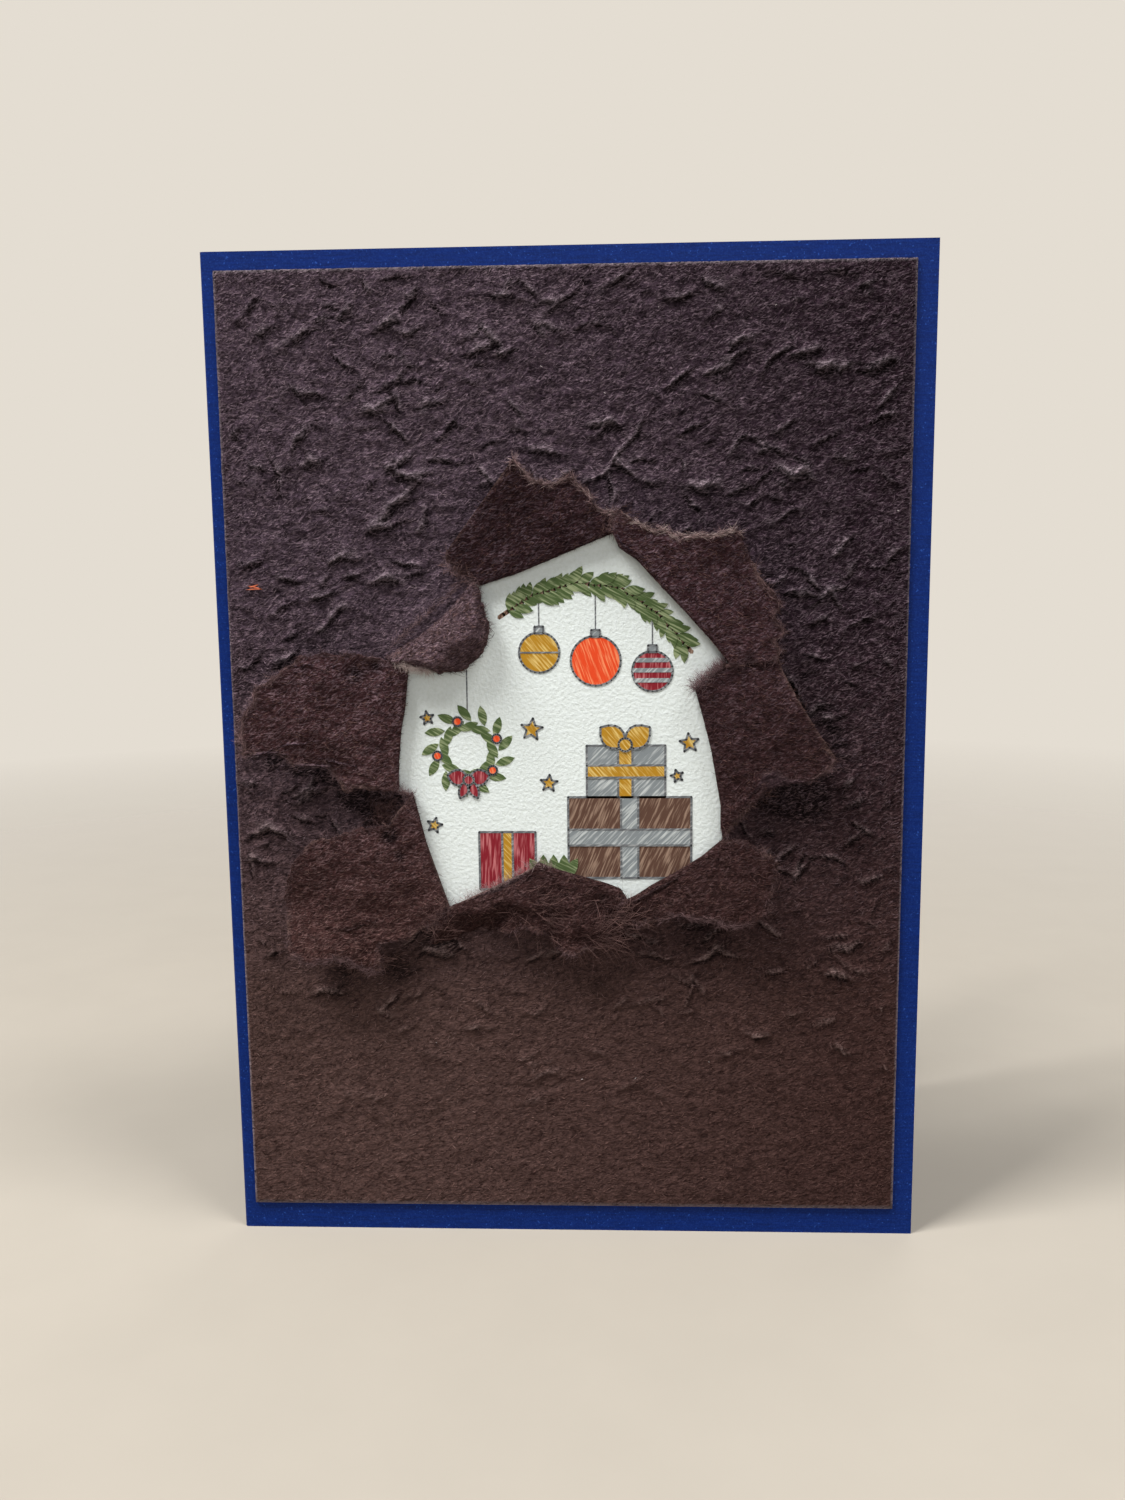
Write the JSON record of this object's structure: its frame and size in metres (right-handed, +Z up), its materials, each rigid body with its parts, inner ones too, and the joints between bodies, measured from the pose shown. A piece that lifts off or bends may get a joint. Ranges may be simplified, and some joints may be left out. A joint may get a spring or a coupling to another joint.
{
  "type": "greeting card",
  "caption": "Folded greeting card standing half open, its front covered by handmade paper torn open with turned-back flaps round a small picture.",
  "frame": {"origin": "middle of the front leaf's lower edge, in the middle of the board's thickness", "axes": "+Z up along the fold, +X from the fold towards the free edge along the front leaf, -Y out of the front"},
  "size_m": [0.148, 0.0731, 0.21],
  "materials": {
    "navy_board": "satin",
    "picture_paper": "matte",
    "brown_paper": "matte"
  },
  "bodies": {
    "root": {"folded_card": "navy_board", "picture_card": "picture_paper", "torn_panel": "brown_paper"}
  },
  "joints": []
}
